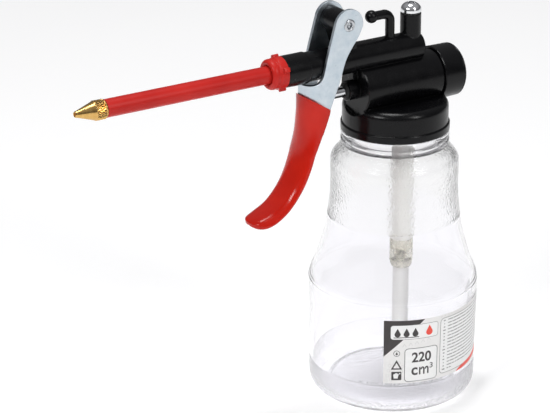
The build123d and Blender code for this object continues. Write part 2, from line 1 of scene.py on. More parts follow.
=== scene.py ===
import math
import bpy
import bmesh
import numpy as np
from mathutils import Matrix, Vector


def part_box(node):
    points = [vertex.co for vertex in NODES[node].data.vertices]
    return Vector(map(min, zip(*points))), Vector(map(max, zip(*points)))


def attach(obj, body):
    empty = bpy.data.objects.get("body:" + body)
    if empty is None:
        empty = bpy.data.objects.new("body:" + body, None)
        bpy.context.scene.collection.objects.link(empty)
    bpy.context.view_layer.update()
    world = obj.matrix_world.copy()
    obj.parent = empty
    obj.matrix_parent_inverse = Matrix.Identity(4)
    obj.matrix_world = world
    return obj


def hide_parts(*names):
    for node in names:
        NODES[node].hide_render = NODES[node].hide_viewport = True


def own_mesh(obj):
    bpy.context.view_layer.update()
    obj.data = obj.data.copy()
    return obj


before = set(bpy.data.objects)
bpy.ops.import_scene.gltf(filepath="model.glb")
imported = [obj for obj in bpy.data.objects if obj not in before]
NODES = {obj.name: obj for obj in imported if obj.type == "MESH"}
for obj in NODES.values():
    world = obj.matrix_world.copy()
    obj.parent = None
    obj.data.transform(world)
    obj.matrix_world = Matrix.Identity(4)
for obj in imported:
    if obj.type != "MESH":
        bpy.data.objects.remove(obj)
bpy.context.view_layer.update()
MM = 0.001
rng = np.random.default_rng(7)


def box_mm(node):
    lo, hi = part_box(node)
    return [v / MM for v in lo], [v / MM for v in hi]


# =============================================================== node helpers
def new_material(name):
    m = bpy.data.materials.new(name)
    m.use_nodes = True
    nt = m.node_tree
    nt.nodes.clear()
    out = nt.nodes.new("ShaderNodeOutputMaterial")
    p = nt.nodes.new("ShaderNodeBsdfPrincipled")
    nt.links.new(p.outputs[0], out.inputs[0])
    tc = nt.nodes.new("ShaderNodeTexCoord")
    return m, nt, p, tc.outputs["Object"]


def mapped(nt, vec, scale=(1, 1, 1), rot=(0, 0, 0), loc=(0, 0, 0)):
    n = nt.nodes.new("ShaderNodeMapping")
    nt.links.new(vec, n.inputs[0])
    n.inputs["Location"].default_value = loc
    n.inputs["Rotation"].default_value = rot
    n.inputs["Scale"].default_value = scale
    return n.outputs[0]


def noise(nt, vec, size_mm, detail=3.0, rough=0.55, dist=0.0):
    n = nt.nodes.new("ShaderNodeTexNoise")
    nt.links.new(vec, n.inputs["Vector"])
    n.inputs["Scale"].default_value = 1000.0 / size_mm
    n.inputs["Detail"].default_value = detail
    n.inputs["Roughness"].default_value = rough
    n.inputs["Distortion"].default_value = dist
    return n.outputs[0]


def voronoi(nt, vec, size_mm, feature="F1", rnd=1.0):
    n = nt.nodes.new("ShaderNodeTexVoronoi")
    n.feature = feature
    nt.links.new(vec, n.inputs["Vector"])
    n.inputs["Scale"].default_value = 1000.0 / size_mm
    n.inputs["Randomness"].default_value = rnd
    return n.outputs[0]


def remap(nt, val, a, b, c, d, smooth=False):
    n = nt.nodes.new("ShaderNodeMapRange")
    if smooth:
        n.interpolation_type = "SMOOTHSTEP"
    nt.links.new(val, n.inputs[0])
    for k, x in zip((1, 2, 3, 4), (a, b, c, d)):
        n.inputs[k].default_value = x
    return n.outputs[0]


def calc(nt, op, a, b=0.5, c=0.5):
    n = nt.nodes.new("ShaderNodeMath")
    n.operation = op
    for k, v in enumerate((a, b, c)):
        if k < len(n.inputs):
            if isinstance(v, (int, float)):
                n.inputs[k].default_value = v
            else:
                nt.links.new(v, n.inputs[k])
    return n.outputs[0]


def ramp(nt, fac, stops):
    n = nt.nodes.new("ShaderNodeValToRGB")
    nt.links.new(fac, n.inputs[0])
    e = n.color_ramp.elements
    while len(e) < len(stops):
        e.new(0.5)
    for k, (pos, col) in enumerate(stops):
        e[k].position = pos
        e[k].color = (col[0], col[1], col[2], 1.0)
    return n.outputs[0]


def blend_col(nt, fac, a, b):
    n = nt.nodes.new("ShaderNodeMix")
    n.data_type = "RGBA"
    if isinstance(fac, (int, float)):
        n.inputs[0].default_value = fac
    else:
        nt.links.new(fac, n.inputs[0])
    for k, v in ((6, a), (7, b)):
        if isinstance(v, tuple):
            n.inputs[k].default_value = (*v[:3], 1.0)
        else:
            nt.links.new(v, n.inputs[k])
    return n.outputs[2]


def xyz(nt, vec):
    n = nt.nodes.new("ShaderNodeSeparateXYZ")
    nt.links.new(vec, n.inputs[0])
    return n.outputs


def soft_edge(nt, radius_mm, samples=4):
    n = nt.nodes.new("ShaderNodeBevel")
    n.samples = samples
    n.inputs["Radius"].default_value = radius_mm * MM
    return n.outputs[0]


def bump(nt, height, strength, dist_mm, normal=None):
    n = nt.nodes.new("ShaderNodeBump")
    n.inputs["Strength"].default_value = strength
    n.inputs["Distance"].default_value = dist_mm * MM
    nt.links.new(height, n.inputs["Height"])
    if normal is not None:
        nt.links.new(normal, n.inputs["Normal"])
    return n.outputs[0]


def put(nt, p, **sockets):
    for key, v in sockets.items():
        s = p.inputs[key.replace("_", " ")]
        if isinstance(v, (int, float)):
            s.default_value = v
        elif isinstance(v, tuple):
            s.default_value = (*v, 1.0) if len(v) == 3 else v
        else:
            nt.links.new(v, s)


# ================================================================= materials
def plastic(name, dark, light, rough, grain_mm=0.35, grain=0.12, edge=0.25, ior_level=0.5, coat=0.0,
            wave_mm=9.0, wave=0.05, scuff=0.05, scuff_col=None, sub=0.0):
    """Moulded plastic: mottled colour, fine grain, faint flow waves and rubbed scuffs."""
    m, nt, p, vec = new_material(name)
    big = noise(nt, vec, 14.0, 2.0)
    fine = noise(nt, vec, grain_mm, 3.0, 0.6)
    col = ramp(nt, big, [(0.3, dark), (0.7, light)])
    scr = noise(nt, mapped(nt, vec, (1.0, 6.0, 2.2), (0.4, 0.7, 0.2)), 3.5, 4.0, 0.7)
    rub = remap(nt, scr, 0.66, 0.74, 0.0, 1.0, True)
    if scuff_col:
        col = blend_col(nt, calc(nt, "MULTIPLY", rub, scuff), col, scuff_col)
    r0 = remap(nt, noise(nt, vec, 5.0, 3.0), 0.3, 0.7, rough - 0.05, rough + 0.06)
    r1 = calc(nt, "ADD", r0, calc(nt, "MULTIPLY", rub, 0.12))
    nrm = soft_edge(nt, edge) if edge else None
    nrm = bump(nt, noise(nt, vec, wave_mm, 1.0), wave, 0.6, nrm)
    nrm = bump(nt, fine, grain, 0.03, nrm)
    put(nt, p, Base_Color=col, Roughness=r1, Normal=nrm, Specular_IOR_Level=ior_level, Coat_Weight=coat)
    p.inputs["Coat Roughness"].default_value = 0.12
    if sub:
        p.inputs["Subsurface Weight"].default_value = sub
        p.inputs["Subsurface Radius"].default_value = (0.002, 0.0008, 0.0006)
        p.inputs["Subsurface Scale"].default_value = 0.5
    return m


def metal(name, dark, light, rough, stretch=(1, 1, 1), grain_mm=0.5, grain=0.15, edge=0.15, blotch_mm=6.0, aniso=0.0, spread=0.08,
          tarnish=None):
    """Plated or turned metal: blotched colour, drawn or turned grain and varied polish."""
    m, nt, p, vec = new_material(name)
    blot = noise(nt, vec, blotch_mm, 4.0, 0.6)
    lines = noise(nt, mapped(nt, vec, stretch), grain_mm, 3.0, 0.65)
    col = ramp(nt, blot, [(0.32, dark), (0.68, light)])
    if tarnish:
        spots = remap(nt, noise(nt, vec, 1.8, 4.0, 0.7), 0.62, 0.75, 0.0, 0.6, True)
        col = blend_col(nt, spots, col, tarnish)
    r = calc(nt, "ADD", remap(nt, blot, 0.3, 0.7, rough - spread / 2, rough + spread / 2),
             remap(nt, lines, 0.3, 0.7, -0.03, 0.05))
    nrm = soft_edge(nt, edge) if edge else None
    nrm = bump(nt, lines, grain, 0.02, nrm)
    put(nt, p, Base_Color=col, Roughness=r, Normal=nrm, Metallic=1.0)
    if aniso:
        p.inputs["Anisotropic"].default_value = aniso
    return m


M_BLACK = plastic("black_plastic_grained", (0.0018, 0.0018, 0.0022), (0.0036, 0.0036, 0.0042), 0.24, grain_mm=0.30,
                  grain=0.20, edge=0.45, ior_level=0.20, wave_mm=7.0, wave=0.05, scuff=0.35, scuff_col=(0.02, 0.02, 0.022))
M_CAP = plastic("black_plastic_cap", (0.0020, 0.0020, 0.0024), (0.0038, 0.0038, 0.0044), 0.23, grain_mm=0.28,
                grain=0.16, edge=0.4, ior_level=0.22, wave_mm=8.0, wave=0.05, scuff=0.35, scuff_col=(0.025, 0.025, 0.027))
M_VINYL = plastic("red_vinyl_dipped", (0.50, 0.010, 0.004), (0.60, 0.016, 0.006), 0.15, grain_mm=0.5, grain=0.03,
                  edge=0.0, ior_level=0.22, coat=0.08, wave_mm=11.0, wave=0.10, scuff=0.10, scuff_col=(0.75, 0.08, 0.05))
M_RED = plastic("red_plastic_satin", (0.47, 0.013, 0.010), (0.56, 0.020, 0.015), 0.34, grain_mm=0.4, grain=0.12,
                edge=0.3, ior_level=0.22, wave_mm=6.0, wave=0.08, scuff=0.25, scuff_col=(0.72, 0.12, 0.09))
M_RUBBER = plastic("black_rubber", (0.010, 0.010, 0.010), (0.018, 0.018, 0.018), 0.62, grain_mm=0.25, grain=0.35,
                   edge=0.15, ior_level=0.4, wave_mm=4.0, wave=0.1, scuff=0.3, scuff_col=(0.04, 0.04, 0.04))
M_NYLON = plastic("white_nylon", (0.74, 0.73, 0.68), (0.82, 0.81, 0.77), 0.5, grain_mm=0.3, grain=0.15, edge=0.15,
                  wave_mm=3.0, wave=0.05, scuff=0.3, scuff_col=(0.6, 0.58, 0.52), sub=0.1)
M_ZINC = metal("zinc_plated_sheet", (0.52, 0.60, 0.66), (0.66, 0.72, 0.765), 0.36, (1.0, 1.0, 0.35), 0.35, 0.30, 0.22, 3.2,
               spread=0.10, tarnish=(0.40, 0.47, 0.53))
M_BRIGHT = metal("bright_plated_steel", (0.74, 0.75, 0.77), (0.86, 0.87, 0.88), 0.14, (1, 1, 1), 0.8, 0.06, 0.12, 4.0, spread=0.06)
M_ROD = metal("drawn_steel_rod", (0.66, 0.67, 0.69), (0.78, 0.79, 0.80), 0.16, (0.08, 1, 1), 0.4, 0.08, 0.15, 5.0, spread=0.05)
M_SPRING = metal("spring_wire", (0.40, 0.41, 0.43), (0.55, 0.56, 0.58), 0.30, (1, 1, 1), 0.3, 0.12, 0.0, 2.0, spread=0.08,
                 tarnish=(0.25, 0.24, 0.22))
M_BRASS = metal("turned_brass", (0.58, 0.33, 0.095), (0.74, 0.47, 0.165), 0.20, (6.0, 0.05, 0.05), 0.8, 0.20, 0.10, 3.0, spread=0.07,
                tarnish=(0.45, 0.27, 0.09))


def lets_lamps_through(nt, p, share, tint=(0.96, 0.96, 0.965)):
    """Clear plastic casts almost no shadow: lamp light goes straight through it."""
    out = [n for n in nt.nodes if n.type == "OUTPUT_MATERIAL"][0]
    mix = nt.nodes.new("ShaderNodeMixShader")
    tr = nt.nodes.new("ShaderNodeBsdfTransparent")
    tr.inputs[0].default_value = (*tint, 1.0)
    lp = nt.nodes.new("ShaderNodeLightPath")
    nt.links.new(calc(nt, "MULTIPLY", lp.outputs["Is Shadow Ray"], share), mix.inputs[0])
    nt.links.new(p.outputs[0], mix.inputs[1])
    nt.links.new(tr.outputs[0], mix.inputs[2])
    nt.links.new(mix.outputs[0], out.inputs[0])


def clear_bottle():
    """Clear moulded plastic. The narrow drum, the shoulder and the foot band are cast with an orange-peel texture."""
    m, nt, p, vec = new_material("clear_plastic_bottle")
    z = xyz(nt, vec)[2]
    wob = calc(nt, "MULTIPLY", calc(nt, "SUBTRACT", noise(nt, vec, 9.0, 2.0), 0.5), 0.0010)
    zz = calc(nt, "ADD", z, wob)
    top = calc(nt, "MULTIPLY", remap(nt, zz, 0.0700, 0.0712, 0.0, 1.0, True), remap(nt, z, 0.0985, 0.0992, 1.0, 0.0, True))
    foot = remap(nt, zz, 0.0112, 0.0121, 1.0, 0.0, True)
    mask = calc(nt, "MAXIMUM", top, foot)
    peel = noise(nt, vec, 0.75, 2.0, 0.55, 0.0)
    cells = voronoi(nt, vec, 0.90, "SMOOTH_F1")
    grit = noise(nt, vec, 0.35, 2.0, 0.6)
    tex = calc(nt, "ADD", calc(nt, "MULTIPLY", peel, 0.8), calc(nt, "MULTIPLY", cells, 0.5))
    tex = calc(nt, "ADD", tex, calc(nt, "MULTIPLY", calc(nt, "MULTIPLY", grit, foot), 0.8))
    h = calc(nt, "MULTIPLY", tex, mask)
    nrm = bump(nt, noise(nt, vec, 16.0, 2.0), 0.10, 0.5)
    nrm = bump(nt, h, 0.90, 0.16, nrm)
    rough = calc(nt, "ADD", remap(nt, noise(nt, vec, 6.0, 3.0), 0.3, 0.7, 0.004, 0.02),
                 calc(nt, "ADD", calc(nt, "MULTIPLY", top, 0.025), calc(nt, "MULTIPLY", foot, 0.16)))
    col = ramp(nt, noise(nt, vec, 20.0, 2.0), [(0.3, (0.958, 0.955, 0.971)), (0.7, (0.967, 0.964, 0.979))])
    col = blend_col(nt, top, col, (0.966, 0.966, 0.966))
    col = blend_col(nt, foot, col, (0.945, 0.941, 0.964))
    put(nt, p, Base_Color=col, Roughness=rough, Normal=nrm, Transmission_Weight=1.0)
    p.inputs["IOR"].default_value = 1.41
    lets_lamps_through(nt, p, 0.95)
    return m


def pipe_plastic(name, dark, light, rough, trans, ior=1.42):
    m, nt, p, vec = new_material(name)
    col = ramp(nt, noise(nt, mapped(nt, vec, (1, 1, 0.25)), 5.0, 3.0), [(0.3, dark), (0.7, light)])
    rg = remap(nt, noise(nt, vec, 2.0, 3.0), 0.3, 0.7, rough - 0.05, rough + 0.06)
    nrm = bump(nt, noise(nt, mapped(nt, vec, (1, 1, 0.1)), 1.2, 2.0), 0.12, 0.08)
    put(nt, p, Base_Color=col, Roughness=rg, Normal=nrm, Transmission_Weight=trans)
    p.inputs["IOR"].default_value = ior
    lets_lamps_through(nt, p, 0.7)
    return m


M_RIVET = metal("rivet_steel", (0.46, 0.48, 0.50), (0.60, 0.62, 0.64), 0.30, (1, 1, 1), 0.5, 0.05, 0.0, 1.0)
M_BALL = metal("dark_steel_ball", (0.16, 0.16, 0.17), (0.24, 0.24, 0.25), 0.18, (1, 1, 1), 0.5, 0.05, 0.0, 1.0)
M_CLEAR = clear_bottle()
M_PIPE = pipe_plastic("milky_tube", (0.87, 0.86, 0.835), (0.93, 0.92, 0.895), 0.42, 0.28)
M_DIP = pipe_plastic("milky_tube_thin", (0.93, 0.925, 0.905), (0.98, 0.975, 0.955), 0.36, 0.30)
M_AMBER = pipe_plastic("amber_sleeve", (0.90, 0.875, 0.79), (0.955, 0.935, 0.87), 0.26, 0.74, 1.28)


def printed(name, dark, light, rough, fleck=0.0):
    """Ink or film on the label: paper-fine tooth, slight unevenness of the print."""
    m, nt, p, vec = new_material(name)
    col = ramp(nt, noise(nt, vec, 2.5, 4.0, 0.6), [(0.3, dark), (0.7, light)])
    rg = remap(nt, noise(nt, vec, 1.5, 3.0), 0.3, 0.7, rough - 0.05, rough + 0.06)
    nrm = bump(nt, noise(nt, vec, 0.25, 2.0), 0.10, 0.02)
    put(nt, p, Base_Color=col, Roughness=rg, Normal=nrm, Specular_IOR_Level=0.4)
    return m


M_FILM = printed("label_film_satin", (0.83, 0.82, 0.81), (0.87, 0.86, 0.85), 0.42)
M_INK = printed("label_ink_dark", (0.045, 0.040, 0.040), (0.060, 0.053, 0.052), 0.40)
M_WHITE = printed("label_ink_white", (0.88, 0.88, 0.875), (0.92, 0.92, 0.915), 0.38)
M_INKRED = printed("label_ink_red", (0.82, 0.07, 0.045), (0.88, 0.10, 0.07), 0.40)
M_FAINT = printed("label_ink_faint", (0.66, 0.65, 0.65), (0.70, 0.69, 0.69), 0.42)
M_FINE = printed("label_ink_grey", (0.20, 0.19, 0.19), (0.27, 0.26, 0.26), 0.42)


# ============================================================== mesh helpers
def finish_mesh(name, bm, mat, angle=38.0, recalc=True):
    if recalc:
        bmesh.ops.recalc_face_normals(bm, faces=bm.faces)
    me = bpy.data.meshes.new(name)
    bm.to_mesh(me)
    bm.free()
    me.shade_smooth()
    me.set_sharp_from_angle(angle=math.radians(angle))
    ob = bpy.data.objects.new(name, me)
    bpy.context.scene.collection.objects.link(ob)
    for k in (mat if isinstance(mat, (list, tuple)) else [mat]):
        me.materials.append(k)
    return ob


def lathe_bm(prof, axis="Z", at=(0, 0, 0), seg=96, wave=None):
    """Closed (radius, height) outline turned about an axis, in millimetres."""
    bm = bmesh.new()
    rings = []
    for r, h in prof:
        ring = []
        count = 1 if r < 1e-6 else seg
        for k in range(count):
            a = 2 * math.pi * k / seg
            rr = r if wave is None or r < 1e-6 else wave(r, h, a)
            c, s = rr * math.cos(a), rr * math.sin(a)
            if axis == "Z":
                q = (at[0] + c, at[1] + s, at[2] + h)
            elif axis == "X":
                q = (at[0] + h, at[1] + c, at[2] + s)
            else:
                q = (at[0] + c, at[1] + h, at[2] + s)
            ring.append(bm.verts.new([v * MM for v in q]))
        rings.append(ring)
    n = len(rings)
    for i in range(n):
        a, b = rings[i], rings[(i + 1) % n]
        if len(a) == 1 and len(b) == 1:
            continue
        for k in range(seg):
            k2 = (k + 1) % seg
            if len(a) == 1:
                f = (a[0], b[k], b[k2])
            elif len(b) == 1:
                f = (a[k], b[0], a[k2])
            else:
                f = (a[k], b[k], b[k2], a[k2])
            bm.faces.new(f)
    return bm


def lathe(name, prof, mat, axis="Z", at=(0, 0, 0), seg=96, angle=38.0, wave=None):
    return finish_mesh(name, lathe_bm(prof, axis, at, seg, wave), mat, angle)


def rounded(pts, radius=0.25, n=4, fixed=()):
    """Outline with its corners rounded off, apart from those on the axis."""
    out = []
    m = len(pts)
    for i, p in enumerate(pts):
        a, b = pts[i - 1], pts[(i + 1) % m]
        rad = radius[i] if isinstance(radius, (list, tuple)) else radius
        va = np.array(a, float) - p
        vb = np.array(b, float) - p
        la, lb = np.linalg.norm(va), np.linalg.norm(vb)
        if p[0] < 1e-6 or i in fixed or rad <= 0 or la < 1e-6 or lb < 1e-6:
            out.append(tuple(p))
            continue
        cosang = float(np.dot(va, vb) / (la * lb))
        if cosang < -0.985:
            out.append(tuple(p))
            continue
        t = min(rad, 0.45 * la, 0.45 * lb)
        pa = np.array(p, float) + va / la * t
        pb = np.array(p, float) + vb / lb * t
        for k in range(n + 1):
            u = k / n
            q = (1 - u) ** 2 * pa + 2 * u * (1 - u) * np.array(p, float) + u ** 2 * pb
            out.append((float(q[0]), float(q[1])))
    return out


def curve_through(pts, per=6):
    """Catmull-Rom through points (any dimension)."""
    P = np.array(pts, float)
    P = np.vstack([2 * P[0] - P[1], P, 2 * P[-1] - P[-2]])
    out = []
    for i in range(1, len(P) - 2):
        for k in range(per):
            t = k / per
            a, b, c, d = P[i - 1], P[i], P[i + 1], P[i + 2]
            out.append(0.5 * ((2 * b) + (-a + c) * t + (2 * a - 5 * b + 4 * c - d) * t ** 2 + (-a + 3 * b - 3 * c + d) * t ** 3))
    out.append(P[-2])
    return np.array(out)


def union(name, first, others, mat, op="UNION", angle=38.0):
    """Joins or cuts solids with an exact boolean and returns one mesh."""
    for o in others:
        md = first.modifiers.new("b", "BOOLEAN")
        md.operation = op
        md.solver = "EXACT"
        md.object = o
        dg = bpy.context.evaluated_depsgraph_get()
        me = bpy.data.meshes.new_from_object(first.evaluated_get(dg), depsgraph=dg)
        first.modifiers.clear()
        first.data = me
        bpy.data.objects.remove(o)
    first.name = name
    first.data.name = name
    first.data.materials.clear()
    first.data.materials.append(mat)
    for poly in first.data.polygons:
        poly.material_index = 0
    first.data.shade_smooth()
    first.data.set_sharp_from_angle(angle=math.radians(angle))
    return first


def cuboid(name, x0, x1, y0, y1, z0, z1, bev=0.0, seg=2, matrix=None, taper=None):
    bm = bmesh.new()
    bmesh.ops.create_cube(bm, size=1.0)
    for v in bm.verts:
        x, y, z = v.co
        v.co = ((x0 + (x + 0.5) * (x1 - x0)), (y0 + (y + 0.5) * (y1 - y0)), (z0 + (z + 0.5) * (z1 - z0)))
        if taper and v.co.z < (z0 + z1) / 2:
            cx, cy = (x0 + x1) / 2, (y0 + y1) / 2
            v.co.x = cx + (v.co.x - cx) * taper
            v.co.y = cy + (v.co.y - cy) * taper
    if bev:
        bmesh.ops.bevel(bm, geom=list(bm.edges), offset=bev, segments=seg, profile=0.5, affect="EDGES")
    for v in bm.verts:
        q = v.co.copy()
        if matrix is not None:
            q = matrix @ q
        v.co = q * MM
    return finish_mesh(name, bm, M_RED)


# ==================================================================== bottle
B_LO, B_HI = box_mm("bottle")
NECK_TOP = B_HI[2]
PROFILE = [(32.0, 3.9), (32.1, 6.5), (32.1, 9.75), (32.0, 16.25), (32.1, 29.0), (32.3, 40.6), (32.2, 45.5), (31.1, 48.75),
           (29.8, 52.0), (28.7, 55.25), (27.75, 58.5), (26.85, 61.75), (26.1, 65.0), (25.5, 68.25), (25.1, 71.5), (24.7, 74.75),
           (24.35, 78.0), (24.2, 84.0), (24.2, 91.0), (23.95, 93.6), (22.7, 95.5), (21.5, 96.85), (20.5, 98.15), (19.75, 99.1)]
P_SIDE = curve_through(PROFILE, 8)


def bottle_r(z):
    return float(np.interp(z, P_SIDE[:, 1], P_SIDE[:, 0]))


def build_bottle():
    side = []
    for z in np.concatenate([np.arange(4.6, 44.0, 0.8), np.arange(44.0, 46.0, 0.12), np.arange(46.0, 69.6, 0.7),
                             np.arange(69.6, 71.6, 0.15), np.arange(71.6, 91.0, 0.8), np.arange(91.0, 99.1, 0.25)]):
        r = bottle_r(z)
        r += 0.09 * math.exp(-((z - 44.85) / 0.33) ** 2)
        r += 0.09 * math.exp(-((z - 70.5) / 0.25) ** 2)
        r -= 0.10 * math.exp(-((z - 11.7) / 0.35) ** 2)
        side.append((min(r, B_HI[0] - 0.01), z))
    foot = [(28.3, 0.0), (29.4, 0.25), (30.4, 0.9), (31.15, 1.8), (31.65, 2.8), (31.95, 3.8)]
    neck = [(19.75, 99.4), (19.9, 99.7), (20.3, 99.9), (20.4, 100.2), (20.4, 101.0), (20.25, 101.25), (20.0, 101.45), (20.0, 101.9),
            (20.25, 102.1), (20.4, 102.35), (20.4, 103.9), (20.3, 104.3), (20.0, 104.4), (17.2, 104.4), (16.95, 104.6)]
    z = 104.8
    threads = []
    while z < NECK_TOP - 0.5:
        threads.append((16.9, z))
        z += 0.24
    rim = [(16.9, NECK_TOP - 0.4), (16.6, NECK_TOP), (15.7, NECK_TOP), (15.4, NECK_TOP - 0.3)]
    inside = [(15.4, 104.0), (15.4, 101.6), (15.9, 100.3), (17.0, 98.9), (18.4, 97.6), (19.9, 96.4), (21.2, 95.0), (22.3, 93.4)]
    for z in np.concatenate([np.arange(91.5, 71.0, -1.0), np.arange(71.0, 44.0, -1.0), np.arange(44.0, 4.5, -1.4)]):
        inside.append((bottle_r(z) - 1.5, z))
    floor = [(30.2, 3.9), (29.6, 2.6), (28.6, 1.8), (27.4, 1.55), (25.4, 1.6), (24.2, 2.0), (22.8, 2.6), (12.0, 2.7), (0.0, 2.75)]
    under = [(0.0, 1.2), (12.0, 1.2), (22.0, 1.15), (22.9, 0.8), (24.0, 0.05), (24.6, 0.0), (28.3, 0.0)]

    def wave(r, h, a):
        if 104.75 < h < NECK_TOP - 0.45 and r > 16.5:
            u = ((h - 105.0) / 3.0 - a / (2 * math.pi)) % 1.0
            d = abs(u - 0.5) * 3.0
            fade = min(1.0, max(0.0, (h - 104.9) / 0.6)) * min(1.0, max(0.0, (NECK_TOP - 0.6 - h) / 0.6))
            return r + 0.68 * fade * max(0.0, min(1.0, 1.5 - d / 0.45 * 1.0 if d > 0.22 else 1.0))
        return r

    prof = foot[1:] + side + neck + threads + rim + inside + floor + under
    ob = lathe("bottle_body", prof, M_CLEAR, seg=192, angle=50.0, wave=wave)
    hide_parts("bottle")
    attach(ob, "bottle")
    return ob


build_bottle()

# ===================================================================== label
L_LO, L_HI = box_mm("bottle_label")
A0 = -130.5
R_LAB = 32.4
LZ0, LZ1 = L_LO[2], L_HI[2]
LWIDTH = math.radians(110.5) * R_LAB


def wrap(s, z, lift):
    a = math.radians(A0) + s / R_LAB
    r = bottle_r(z) + lift
    return (r * math.cos(a) * MM, r * math.sin(a) * MM, z * MM)


def film():
    bm = bmesh.new()
    ns, nz = 150, 14
    grid = {}
    for side, lift in ((0, 0.075), (1, 0.012)):
        for i in range(ns + 1):
            for j in range(nz + 1):
                grid[side, i, j] = bm.verts.new(wrap(LWIDTH * i / ns, LZ0 + (LZ1 - LZ0) * j / nz, lift))
    for side in (0, 1):
        for i in range(ns):
            for j in range(nz):
                bm.faces.new([grid[side, i, j], grid[side, i + 1, j], grid[side, i + 1, j + 1], grid[side, i, j + 1]])
    edge = [(i, 0) for i in range(ns)] + [(ns, j) for j in range(nz)] + [(i, nz) for i in range(ns, 0, -1)] + [(0, j) for j in range(nz, 0, -1)]
    for k in range(len(edge)):
        a, b = edge[k], edge[(k + 1) % len(edge)]
        bm.faces.new([grid[0, a[0], a[1]], grid[0, b[0], b[1]], grid[1, b[0], b[1]], grid[1, a[0], a[1]]])
    ob = finish_mesh("label_film", bm, M_FILM, 60.0)
    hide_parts("bottle_label")
    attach(ob, "bottle")


film()


def rrect(s0, z0, s1, z1, r, n=6):
    pts = []
    for cx, cz, a0 in ((s1 - r, z0 + r, -90), (s1 - r, z1 - r, 0), (s0 + r, z1 - r, 90), (s0 + r, z0 + r, 180)):
        for k in range(n + 1):
            a = math.radians(a0 + 90 * k / n)
            pts.append((cx + r * math.cos(a), cz + r * math.sin(a)))
    return pts


def circle(s, z, r, n=28):
    return [(s + r * math.cos(2 * math.pi * k / n), z + r * math.sin(2 * math.pi * k / n)) for k in range(n)]


def drop(s, z, r, n=24):
    """Oil drop outline, point up."""
    pts = []
    for k in range(n + 1):
        a = math.radians(-215 + 250 * k / n)
        pts.append((s + r * math.cos(a), z + r * math.sin(a)))
    pts.append((s, z + 2.15 * r))
    return pts


def bar(s0, z0, s1, z1, w):
    d = math.hypot(s1 - s0, z1 - z0)
    nx, nz = -(z1 - z0) / d * w / 2, (s1 - s0) / d * w / 2
    return [(s0 + nx, z0 + nz), (s0 - nx, z0 - nz), (s1 - nx, z1 - nz), (s1 + nx, z1 + nz)]


class Print:
    """Flat shapes in label coordinates, wrapped round the bottle as one thin sheet of ink."""

    def __init__(self, name, mat, lift):
        self.name, self.mat, self.lift = name, mat, lift
        self.bm = bmesh.new()

    def fill(self, pts):
        self.bm.faces.new([self.bm.verts.new((a, b, 0)) for a, b in pts])

    def ring(self, outer, inner):
        a = [self.bm.verts.new((x, z, 0)) for x, z in outer]
        b = [self.bm.verts.new((x, z, 0)) for x, z in inner]
        n = len(a)
        for k in range(n):
            self.bm.faces.new([a[k], a[(k + 1) % n], b[(k + 1) % n], b[k]])

    def frame(self, s0, z0, s1, z1, r, w):
        self.ring(rrect(s0, z0, s1, z1, r), rrect(s0 + w, z0 + w, s1 - w, z1 - w, max(r - w, 0.05)))

    def text(self, body, s0, z0, height, width, bold=0.012):
        cu = bpy.data.curves.new("t", "FONT")
        cu.body = body
        cu.size = 1.0
        cu.offset = bold
        ob = bpy.data.objects.new("t", cu)
        bpy.context.scene.collection.objects.link(ob)
        dg = bpy.context.evaluated_depsgraph_get()
        me = bpy.data.meshes.new_from_object(ob.evaluated_get(dg), depsgraph=dg)
        co = np.array([v.co for v in me.vertices])
        lo, hi = co.min(0), co.max(0)
        tmp = bmesh.new()
        tmp.from_mesh(me)
        remap_v = {}
        for v in tmp.verts:
            x = s0 + (v.co.x - lo[0]) / (hi[0] - lo[0]) * width
            z = z0 + (v.co.y - lo[1]) / (hi[1] - lo[1]) * height
            remap_v[v.index] = self.bm.verts.new((x, z, 0))
        for f in tmp.faces:
            try:
                self.bm.faces.new([remap_v[v.index] for v in f.verts])
            except ValueError:
                pass
        tmp.free()
        bpy.data.objects.remove(ob)
        bpy.data.curves.remove(cu)
        bpy.data.meshes.remove(me)

    def done(self):
        bm = self.bm
        lo = min(v.co.x for v in bm.verts)
        hi = max(v.co.x for v in bm.verts)
        s = math.ceil(lo / 0.7) * 0.7
        while s < hi:
            bmesh.ops.bisect_plane(bm, geom=list(bm.verts) + list(bm.edges) + list(bm.faces), dist=1e-5,
                                   plane_co=(s, 0, 0), plane_no=(1, 0, 0))
            s += 0.7
        z = LZ0 + 2.0
        while z < LZ1:
            bmesh.ops.bisect_plane(bm, geom=list(bm.verts) + list(bm.edges) + list(bm.faces), dist=1e-5,
                                   plane_co=(0, z, 0), plane_no=(0, 1, 0))
            z += 2.0
        for v in bm.verts:
            v.co = wrap(v.co.x, v.co.y, self.lift)
        bmesh.ops.remove_doubles(bm, verts=bm.verts, dist=1e-7)
        bm.normal_update()
        for f in bm.faces:
            c = f.calc_center_median()
            if f.normal.dot(Vector((c.x, c.y, 0))) < 0:
                f.normal_flip()
        ob = finish_mesh(self.name, bm, self.mat, 60.0, recalc=False)
        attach(ob, "bottle")
        return ob


faint = Print("label_print_faint", M_FAINT, 0.086)
for k in range(26):
    s = 1.2 + (k % 5) * 1.75 + (k // 5) * 0.4
    z = 14.6 + (k // 5) * 2.1 + (k % 5) * 0.55
    if z < 23.4 - s * 0.2 and s < 7.6:
        faint.ring(circle(s, z, 0.66, 16), circle(s, z, 0.50, 16))
for k in range(11):
    s = 22.8 + k * 3.4
    faint.ring(circle(s, 38.95, 0.42, 14), circle(s, 38.95, 0.28, 14))
    faint.fill(bar(s + 1.1, 38.6, s + 1.6, 39.3, 0.16))
    faint.fill(bar(s + 1.6, 39.3, s + 2.1, 38.6, 0.16))
for k in range(5):
    s, z = 7.2 + k * 2.4, 28.6 + k * 0.45
    faint.fill(bar(s, z, s + 0.7, z + 1.2, 0.18))
    faint.fill(bar(s + 0.7, z + 1.2, s + 1.4, z, 0.18))
faint.done()

